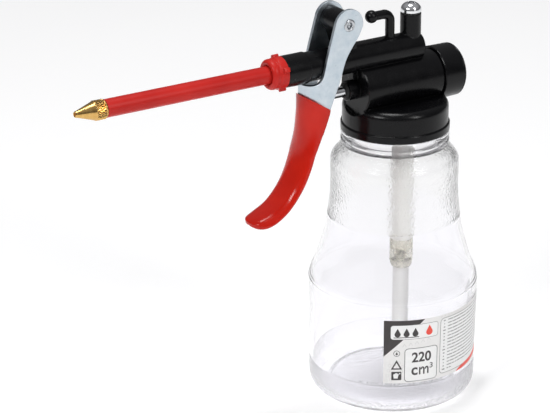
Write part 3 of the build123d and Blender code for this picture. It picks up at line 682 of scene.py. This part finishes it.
dark = Print("label_print_dark", M_INK, 0.090)
dark.fill([(0.02, LZ1 - 0.02), (0.02, 24.6), (15.7, LZ1 - 0.02)])
dark.fill(rrect(3.1, 14.9, 6.9, 18.4, 0.15, 2))
dark.ring([(5.0, 23.3), (2.85, 19.3), (7.15, 19.3)], [(5.0, 22.15), (3.75, 19.85), (6.25, 19.85)])
dark.ring(circle(5.0, 26.0, 1.25, 28), circle(5.0, 26.0, 1.05, 28))
dark.frame(8.0, 14.0, 21.3, 27.9, 1.5, 0.22)
dark.frame(2.5, 31.7, 21.3, 37.7, 1.1, 0.13)
dark.frame(22.4, 15.0, 61.0, 38.2, 1.7, 0.17)
dark.done()

white = Print("label_print_white", M_WHITE, 0.096)
white.fill(rrect(2.63, 31.83, 21.17, 37.57, 1.0))
white.fill(rrect(8.22, 14.22, 21.08, 27.68, 1.3))
white.fill(rrect(22.57, 15.17, 60.83, 38.03, 1.55))
white.ring(circle(5.0, 26.0, 1.05, 24), circle(5.0, 26.0, 0.95, 24))
white.fill([(4.0, 15.6), (5.5, 15.6), (5.9, 17.4), (4.9, 17.9), (3.8, 17.2)])
white.fill(circle(6.25, 17.6, 0.28, 12))
white.done()

text = Print("label_print_capacity", M_INK, 0.102)
text.text("220", 10.8, 21.9, 4.2, 7.8, 0.026)
text.text("c", 10.75, 16.6, 3.25, 2.45, 0.02)
for s0, z1 in ((13.75, 19.75), (15.42, 18.7), (17.09, 18.7)):
    text.fill([(s0, 16.65), (s0 + 0.60, 16.65), (s0 + 0.60, z1), (s0, z1)])
for s0 in (15.185, 16.855):
    for q in range(10):
        a, b = math.pi * q / 10, math.pi * (q + 1) / 10
        text.fill([(s0 + r * math.cos(t), 18.7 + k * math.sin(t)) for r, k, t in
                   ((0.835, 1.12, a), (0.835, 1.12, b), (0.235, 0.52, b), (0.235, 0.52, a))])
text.text("3", 18.05, 18.75, 2.2, 1.35, 0.012)
for k, (r, s) in enumerate(((1.15, 5.2), (1.15, 8.6), (1.15, 12.0))):
    text.fill(drop(s, 33.9, r))
text.fill(bar(3.7, 32.55, 13.5, 32.55, 0.32))
text.fill(drop(5.0, 25.75, 0.42, 16))
text.done()

redprint = Print("label_print_red", M_INKRED, 0.102)
redprint.fill(drop(17.6, 34.0, 1.35))
sw_top = curve_through([(31.2, 13.55), (33.4, 14.7), (37.0, 15.35), (42.0, 15.8), (48.0, 17.0), (53.0, 19.2)], 5)
sw_bot = curve_through([(31.2, 13.52), (34.0, 13.55), (37.5, 13.75), (42.0, 14.1), (48.0, 15.1), (53.0, 19.0)], 5)
for k in range(len(sw_top) - 1):
    a, b, c, d = sw_bot[k], sw_bot[k + 1], sw_top[k + 1], sw_top[k]
    if np.linalg.norm(a - d) < 1e-3:
        redprint.fill([tuple(a), tuple(b), tuple(c)])
    else:
        redprint.fill([tuple(a), tuple(b), tuple(c), tuple(d)])
redprint.done()

fine = Print("label_print_fine", M_FINE, 0.102)
row_z = 37.0
for k in range(16):
    z = row_z - 1.36 * k
    w = (0.9, 0.35, 0.7, 1.3, 0.8, 0.5)[k % 6]
    fine.fill(bar(24.3 - w / 2, z, 24.3 + w / 2, z, 0.42))
    s = 26.0
    end = (58.0, 56.0, 59.0, 52.0, 58.5, 47.0, 59.0, 55.0)[k % 8] if k < 15 else 28.5
    while s < end:
        w = 0.8 + 2.6 * float(rng.random())
        fine.fill(bar(s, z + 0.05 * math.sin(s), min(s + w, end), z + 0.05 * math.sin(s + w), 0.34))
        s += w + 0.35
fine.done()

# ====================================================== nodes kept from the CAD
KEPT = {
    "pump_head": M_BLACK, "cap_seal": M_RUBBER, "rear_cap": M_CAP, "rear_cap_seal": M_RUBBER, "plunger_rod": M_ROD,
    "piston": M_NYLON, "piston_seal": M_RUBBER, "rod_seal": M_RUBBER, "lever": M_ZINC,
    "spout_tube": M_RED, "spout_seal": M_RUBBER, "discharge_ball": M_BALL,
    "valve_screw_washer": M_RUBBER, "suction_pipe": M_PIPE, "suction_valve_body": M_AMBER, "suction_ball": M_BALL,
    "dip_tube": M_DIP,
}
for node, mat in KEPT.items():
    ob = NODES[node]
    for s in ob.material_slots:
        s.link = "OBJECT"
        s.material = mat


# ================================================================== springs
# each spring is copied into its own mesh with the spring wire finish and hung on the pump head
for node, joint, axis, far, stroke in (("return_spring", "plunger_slide", 0, 22.5, 7.7),
                                       ("discharge_spring", "discharge_ball_lift", 2, 142.95, 1.0),
                                       ("suction_spring", "suction_ball_lift", 2, 59.77, 1.0)):
    lo, hi = box_mm(node)
    coil = NODES[node].copy()
    coil.data = NODES[node].data.copy()
    coil.parent = None
    coil.matrix_world = NODES[node].matrix_world.copy()
    coil.name = node + "_coil"
    bpy.context.scene.collection.objects.link(coil)
    coil.data.materials.clear()
    coil.data.materials.append(M_SPRING)
    for sl in coil.material_slots:
        sl.link = "OBJECT"
        sl.material = M_SPRING
    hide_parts(node)
    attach(coil, "pump_head")
    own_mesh(coil)


# ====================================================================== grip
NOSE = [(-42.3, 131.0), (-42.3, 124.0), (-42.6, 116.0), (-43.3, 107.0), (-44.9, 100.5), (-48.4, 92.8), (-53.8, 86.3), (-59.9, 82.9),
        (-66.5, 81.5)]
REAR = [(-29.0, 131.0), (-32.9, 121.2), (-33.6, 118.0), (-36.35, 110.8), (-40.9, 100.8), (-46.45, 91.75), (-50.8, 86.6), (-55.3, 82.0),
        (-60.4, 79.2), (-66.5, 77.3)]
G_LO, G_HI = box_mm("lever_grip")


def build_grip():
    """Dipped vinyl sleeve: a channel round the steel, closing to a thick rounded tongue at the tip."""
    nose = curve_through(NOSE, 24)
    rear = curve_through(REAR, 24)
    seg = np.linalg.norm(np.diff(nose, axis=0), axis=1)
    s_at = np.concatenate([[0], np.cumsum(seg)])
    top = float(s_at[np.argmin(np.abs(nose[:, 1] - 125.15))])
    end = float(s_at[np.argmin(np.abs(nose[:, 0] + 64.7))])

    def at(s):
        x = np.interp(s, s_at, nose[:, 0])
        z = np.interp(s, s_at, nose[:, 1])
        e = 0.4
        dx = np.interp(s + e, s_at, nose[:, 0]) - np.interp(s - e, s_at, nose[:, 0])
        dz = np.interp(s + e, s_at, nose[:, 1]) - np.interp(s - e, s_at, nose[:, 1])
        t = np.array([dx, dz]) / math.hypot(dx, dz)
        return np.array([x, z]), t

    def reach(p, d):
        best = None
        for a, b in zip(rear, rear[1:]):
            m = np.array([[d[0], a[0] - b[0]], [d[1], a[1] - b[1]]])
            if abs(np.linalg.det(m)) < 1e-9:
                continue
            u, w = np.linalg.solve(m, a - p)
            if -1e-6 <= w <= 1 + 1e-6 and u > 0 and (best is None or u < best):
                best = u
        return best if best is not None else 4.2

    stations = list(np.linspace(top, end - 8.2, 52)) + [end - 8.2 * (1 - math.sin(math.pi / 2 * k / 18)) for k in range(1, 18)]
    W = 7.6
    T = 2.3
    bm = bmesh.new()
    rings = []
    depth_end = None
    for s in stations:
        p, t = at(s)
        n = np.array([-t[1], t[0]])
        if n[0] < 0:
            n = -n
        f = min(1.0, max(0.0, (s - top) / 16.0))
        f = f * f * (3 - 2 * f)
        tilt = np.array([0.851, -0.525])
        d = tilt * (1 - f) + n * f
        d /= np.linalg.norm(d)
        L = reach(p, d)
        u = (s - top) / (end - top)
        k = float(np.interp(u, [0, 0.42, 0.55, 0.68, 0.80, 0.90, 1.0], [1.0, 1.0, 0.86, 0.68, 0.52, 0.46, 0.46]))
        if f < 1:
            k = k * (1 - f) * 1.02 + k * f
        w = W
        w_fac = float(np.interp(u, [0, 0.4, 0.66, 0.82, 1.0], [1.0, 1.0, 0.93, 0.93, 0.97]))
        w *= w_fac
        # plan of the tip: a half round
        left = end - s
        push = 0.0
        if left < 8.2:
            c = 1 - left / 8.2
            w *= math.sqrt(max(1e-4, 1 - c ** 2.6))
            thick = min(L, 4.6)
            push = (1 - math.sqrt(max(1e-4, 1 - c ** 4))) * thick * 0.5
        L = max(L, 4.2)
        hollow = max(0.0, min(1.0, (L - 5.0) / 3.0))
        rim = min(T / 2, w * 0.45)
        sag = w * k
        outer = []
        n_leg, n_arc = 7, 22
        a_end = L - rim * 0.9
        sag = min(sag, a_end * 0.98)
        for q in range(n_leg):
            outer.append((a_end + (sag - a_end) * q / n_leg, w))
        for q in range(n_arc + 1):
            ang = math.pi / 2 - math.pi * q / n_arc
            outer.append((sag - sag * math.cos(ang), w * math.sin(ang)))
        for q in range(1, n_leg + 1):
            outer.append((sag + (a_end - sag) * q / n_leg, -w))
        wi = max(w - 2 * rim, 0.2)
        floor_a = T + (a_end - T) * (1 - hollow) if a_end > T else a_end
        floor_a = min(floor_a, a_end)
        sag_in = min(sag, a_end - floor_a) if a_end > floor_a else 0.0
        inner = []
        # rim, then the inside of the channel
        for q in range(1, 6):
            ang = math.pi * q / 6
            inner.append((a_end + rim * math.sin(ang) * (0.9 if hollow > 0.5 else 0.7), -w + rim - rim * math.cos(ang)))
        for q in range(n_leg):
            inner.append((a_end + (floor_a + sag_in - a_end) * q / n_leg, -wi))
        for q in range(n_arc + 1):
            ang = -math.pi / 2 + math.pi * q / n_arc
            inner.append((floor_a + sag_in - sag_in * math.cos(ang), wi * math.sin(ang)))
        for q in range(1, n_leg + 1):
            inner.append((floor_a + sag_in + (a_end - floor_a - sag_in) * q / n_leg, wi))
        for q in range(1, 6):
            ang = math.pi * q / 6
            inner.append((a_end + rim * math.sin(ang) * (0.9 if hollow > 0.5 else 0.7), wi + rim - rim * math.cos(ang)))
        loop = outer + inner
        mid = L * 0.5
        verts = []
        for a, b in loop:
            if push:
                a = mid + (a - mid) * (1 - push / (L * 0.5))
            q = p + d * a
            verts.append(bm.verts.new((q[0] * MM, b * MM, q[1] * MM)))
        rings.append(verts)
    m = len(rings[0])
    for a, b in zip(rings, rings[1:]):
        for k in range(m):
            bm.faces.new([a[k], a[(k + 1) % m], b[(k + 1) % m], b[k]])
    n_out = 7 + 23 + 7
    # top lip: closes the sleeve's wall round the steel
    for ring, flip in ((rings[0], False),):
        half = m - n_out
        o = ring[:n_out]
        i = ring[n_out:][::-1]
        for k in range(n_out - 1):
            j0 = int(round(k * (len(i) - 1) / (n_out - 1)))
            j1 = int(round((k + 1) * (len(i) - 1) / (n_out - 1)))
            vs = [o[k], o[k + 1], i[j1], i[j0]] if j1 != j0 else [o[k], o[k + 1], i[j0]]
            try:
                bm.faces.new(vs)
            except ValueError:
                pass
    tip = bm.verts.new(sum((v.co for v in rings[-1]), Vector()) / m)
    for k in range(m):
        bm.faces.new([rings[-1][k], rings[-1][(k + 1) % m], tip])
    bmesh.ops.remove_doubles(bm, verts=bm.verts, dist=2e-6)
    ob = finish_mesh("grip_sleeve", bm, M_VINYL, 70.0)
    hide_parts("lever_grip")
    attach(ob, "lever")
    return ob


build_grip()


# ===================================================================== rivet
def build_rivet():
    lo, hi = box_mm("lever_rivet")
    x, z = (lo[0] + hi[0]) / 2, (lo[2] + hi[2]) / 2
    y = hi[1]
    r_head, bore, body = (hi[0] - lo[0]) / 2, 1.0, 1.58
    prof = []
    for s in (1, -1):
        half = [(0.0, s * (y - 1.5)), (0.55, s * (y - 1.42)), (bore - 0.08, s * (y - 1.25)), (bore, s * (y - 0.9)), (bore + 0.05, s * (y - 0.45)), (bore + 0.2, s * (y - 0.16)), (bore + 0.42, s * (y - 0.03)),
                (bore + 0.65, s * y), (bore + 0.92, s * (y - 0.05)), (r_head - 0.12, s * (y - 0.20)), (r_head, s * (y - 0.36)),
                (r_head - 0.05, s * (y - 0.50)), (body, s * (y - 0.52)), (body, s * (y - 1.2))]
        prof += half if s == 1 else half[::-1]
    ob = lathe("rivet_tube", prof, M_RIVET, "Y", (x, 0, z), 56, 45.0)
    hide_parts("lever_rivet")
    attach(ob, "lever")


build_rivet()


# ================================================================= spout nut
def build_nut():
    lo, hi = box_mm("spout_nut")
    x0, x1 = -56.2, -49.92
    z = 135.15
    bore, thread = 3.34, 4.48
    prof = rounded([(3.26, x0 + 0.95), (3.45, x0 + 0.55), (4.0, x0 + 0.08), (4.6, x0), (5.25, x0 + 0.35), (5.62, x0 + 1.1), (5.66, x0 + 2.1),
                    (5.45, x0 + 2.75), (5.55, x0 + 3.1), (5.92, x0 + 3.45), (5.95, x1), (thread, x1), (thread, -42.8), (bore, -42.8),
                    (bore, x0 + 2.2)], 0.35, 4)
    body = lathe("nut_body", prof, M_RED, "X", (0, 0, z), 96, 40.0)
    lugs = []
    for k in range(4):
        m = Matrix.Translation((0, 0, z)) @ Matrix.Rotation(math.radians(-24 + 90 * k), 4, "X")
        lugs.append(cuboid("lug", x1 - 2.45, x1 - 0.05, -0.9, 0.9, 5.2, 6.74, 0.28, 3, m))
    ob = union("spout_nut_body", body, lugs, M_RED)
    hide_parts("spout_nut")
    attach(ob, "spout_nut")


build_nut()


# ================================================================ nozzle tip
def build_tip():
    lo, hi = box_mm("nozzle_tip")
    x0, z = lo[0], 135.15
    k0, k1 = -125.2, -121.75
    cone = [(0.6, x0 + 3.0), (0.6, x0 + 0.35), (0.72, x0 + 0.05), (0.95, x0), (1.10, x0 + 0.25), (1.16, x0 + 0.55), (1.20, x0 + 0.75)]
    cone += [(1.20 + (3.34 - 1.20) * t, x0 + 0.75 + (k0 - 0.2 - x0 - 0.75) * t) for t in (0.2, 0.4, 0.6, 0.8, 0.95, 1.0)]
    knurl = [(3.42, k0 - 0.05)] + [(3.5, k0 + (k1 - k0) * t) for t in np.linspace(0, 1, 15)] + [(3.42, k1 + 0.1)]
    tail = [(3.28, k1 + 0.2), (3.28, -121.3), (3.15, -121.13), (2.16, -121.13), (2.14, -112.4), (1.95, -112.1), (1.2, -112.1), (1.2, x0 + 4.0)]

    def wave(r, h, a):
        if r > 3.38 and k0 - 0.2 < h < k1 + 0.2:
            e = min(1.0, (h - k0 + 0.2) / 0.45, (k1 + 0.2 - h) / 0.45)
            tw = 0.10 * (h - k0)
            t1 = abs(((a + tw) * 24 / (2 * math.pi)) % 1.0 - 0.5) * 2
            t2 = abs(((a - tw * 1.2) * 24 / (2 * math.pi)) % 1.0 - 0.5) * 2
            cut = 0.46 * (1 - t1) ** 1.1 + 0.08 * (1 - t2)
            return r + 0.09 - e * cut
        return r

    ob = lathe("nozzle_body", cone + knurl + tail, M_BRASS, "X", (0, 0, z), 384, 24.0, wave)
    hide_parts("nozzle_tip")
    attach(ob, "nozzle")


build_tip()


# =============================================================== valve screw
def build_screw():
    lo, hi = box_mm("valve_screw")
    x, top = (lo[0] + hi[0]) / 2, hi[2]
    r = (hi[0] - lo[0]) / 2
    z_head = 148.4
    dome = [(2.38, lo[2] + 0.3), (2.38, z_head), (r - 0.25, z_head), (r - 0.02, z_head + 0.25), (r, z_head + 0.9)]
    for k in range(1, 13):
        a = math.pi / 2 * k / 12
        dome.append((r * math.cos(a) if k < 12 else 0.0, z_head + 0.95 + (top - z_head - 0.95) * math.sin(a)))
    bottom = [(0.0, lo[2]), (2.1, lo[2])]
    body = lathe("screw_body", dome + bottom, M_BRIGHT, "Z", (x, 0, 0), 88, 35.0)
    cuts = []
    for ang in (20, 110):
        m = Matrix.Translation((x, 0, 0)) @ Matrix.Rotation(math.radians(ang), 4, "Z")
        cuts.append(cuboid("cut", -2.15, 2.15, -0.42, 0.42, top - 2.3, top + 1.5, 0.0, 1, m, 0.55))
    m = Matrix.Translation((x, 0, 0)) @ Matrix.Rotation(math.radians(65), 4, "Z")
    cuts.append(cuboid("cut", -0.75, 0.75, -0.75, 0.75, top - 2.6, top + 1.5, 0.0, 1, m, 0.4))
    ob = union("screw_head_and_shank", body, cuts, M_BRIGHT, "DIFFERENCE", 32.0)
    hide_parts("valve_screw")
    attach(ob, "pump_head")


build_screw()


# ================================================= moulding details of the head
def strip(name, pts, width, height, mat, body, up):
    """Thin half-round line raised on a surface: a mould parting line or flash."""
    P = curve_through(pts, 3) if len(pts) > 2 else np.array(pts, float)
    bm = bmesh.new()
    rows = []
    for i, p in enumerate(P):
        t = P[min(i + 1, len(P) - 1)] - P[max(i - 1, 0)]
        t = t / (np.linalg.norm(t) + 1e-9)
        u = np.array(up(p), float)
        u = u - t * np.dot(u, t)
        u /= np.linalg.norm(u)
        b = np.cross(t, u)
        fade = min(1.0, i / 2.0, (len(P) - 1 - i) / 2.0) * 0.9 + 0.1
        row = []
        for k in range(7):
            a = math.pi * k / 6
            q = p + b * (math.cos(a) * width / 2) + u * (math.sin(a) * height * fade - 0.05 * (1 - math.sin(a)))
            row.append(bm.verts.new(q * MM))
        rows.append(row)
    for a, b in zip(rows, rows[1:]):
        for k in range(6):
            bm.faces.new([a[k], a[k + 1], b[k + 1], b[k]])
        bm.faces.new([a[6], a[0], b[0], b[6]])
    bm.faces.new(rows[0])
    bm.faces.new(rows[-1][::-1])
    ob = finish_mesh(name, bm, mat, 50.0)
    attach(ob, body)
    return ob


strip("parting_line_cap", [(-19.88, 0, 107.7), (-19.88, 0, 110.0), (-19.88, 0, 113.2), (-19.55, 0, 114.6), (-18.8, 0, 115.6)], 0.24, 0.06,
      M_BLACK, "pump_head", lambda p: (-1, 0, 0.3 if p[2] > 113 else 0))
strip("parting_line_tube", [(-40.0, 0, 140.64), (-30.0, 0, 140.64), (-18.0, 0, 140.64), (-6.5, 0, 140.64)], 0.22, 0.05,
      M_BLACK, "pump_head", lambda p: (0, 0, 1))


def cap_thread():
    """Female thread inside the cap, a low rounded helix."""
    bm = bmesh.new()
    rows = []
    n = 150
    for i in range(n + 1):
        a = 2 * math.pi * 1.9 * i / n
        z = 105.25 + 5.0 * i / n
        fade = min(1.0, i / 10.0, (n - i) / 10.0)
        row = []
        for k, (dr, dz) in enumerate(((0.04, -0.75), (-0.16 * fade, -0.4), (-0.24 * fade, 0.0), (-0.16 * fade, 0.4), (0.04, 0.75))):
            r = 18.0 + dr
            row.append(bm.verts.new((r * math.cos(a) * MM, r * math.sin(a) * MM, (z + dz * 0.6) * MM)))
        rows.append(row)
    for a, b in zip(rows, rows[1:]):
        for k in range(4):
            bm.faces.new([a[k], a[k + 1], b[k + 1], b[k]])
        bm.faces.new([a[4], a[0], b[0], b[4]])
    bm.faces.new(rows[0])
    bm.faces.new(rows[-1][::-1])
    ob = finish_mesh("cap_inner_thread", bm, M_BLACK, 50.0)
    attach(ob, "pump_head")


cap_thread()

# ===================================================================== stage
bm = bmesh.new()
bmesh.ops.create_grid(bm, x_segments=24, y_segments=24, size=4.0)
floor = finish_mesh("floor", bm, M_FILM, 60.0)
mf, nt, p, vec = new_material("pale_floor")
put(nt, p, Base_Color=ramp(nt, noise(nt, vec, 400.0, 2.0), [(0.3, (0.79, 0.79, 0.79)), (0.7, (0.81, 0.81, 0.81))]), Roughness=0.9,
    Specular_IOR_Level=0.0, Emission_Color=(1.0, 1.0, 1.0), Emission_Strength=0.27)
floor.data.materials.clear()
floor.data.materials.append(mf)
floor.location.z = 0.0

world = bpy.data.worlds.new("studio")
bpy.context.scene.world = world
world.use_nodes = True
wn = world.node_tree
wn.nodes.clear()
wo = wn.nodes.new("ShaderNodeOutputWorld")
bg = wn.nodes.new("ShaderNodeBackground")
wn.links.new(bg.outputs[0], wo.inputs[0])
wt = wn.nodes.new("ShaderNodeTexCoord")
wz = xyz(wn, wt.outputs["Generated"])[2]
bg.inputs["Strength"].default_value = 1.0
wn.links.new(ramp(wn, remap(wn, wz, -0.05, 1.0, 0.0, 1.0), [(0.0, (0.12, 0.12, 0.125)), (0.30, (0.15, 0.15, 0.155)), (0.8, (0.34, 0.34, 0.35))]),
             bg.inputs["Color"])


def area(name, loc, target, sx, sy, power, colour=(1, 1, 1)):
    d = bpy.data.lights.new(name, "AREA")
    d.shape = "RECTANGLE"
    d.size, d.size_y = sx, sy
    d.energy = power
    d.color = colour
    o = bpy.data.objects.new(name, d)
    bpy.context.scene.collection.objects.link(o)
    o.location = loc
    o.rotation_mode = "QUATERNION"
    o.rotation_quaternion = (Vector(target) - Vector(loc)).to_track_quat("-Z", "Y")
    return o


area("key_left", (-1.15, -0.35, 0.95), (0, 0, 0.09), 0.45, 0.30, 6.5)
area("key_right", (0.30, -1.20, 0.95), (0, 0, 0.09), 0.16, 0.70, 6.5)
area("top", (0.0, 0.15, 1.35), (0, 0, 0.05), 0.42, 0.42, 7.5)

# ==================================================================== camera
cam_d = bpy.data.cameras.new("camera")
cam = bpy.data.objects.new("camera", cam_d)
bpy.context.scene.collection.objects.link(cam)
cam_d.lens = 139.54
cam_d.sensor_width = 36.0
cam_d.clip_start, cam_d.clip_end = 0.01, 20.0
right = Vector((0.8483181969, -0.5294514630, -0.0061143400))
up = Vector((0.2050120884, 0.3177916405, 0.9257313416))
fwd = Vector((0.4881867270, 0.7865682561, -0.3781323816))
rot = Matrix((right, up, -fwd)).transposed()
cam.matrix_world = Matrix.Translation((-0.43328, -0.61269, 0.37859)) @ rot.to_4x4()
bpy.context.scene.camera = cam

bpy.context.scene.view_settings.view_transform = "Standard"
bpy.context.scene.view_settings.look = "None"
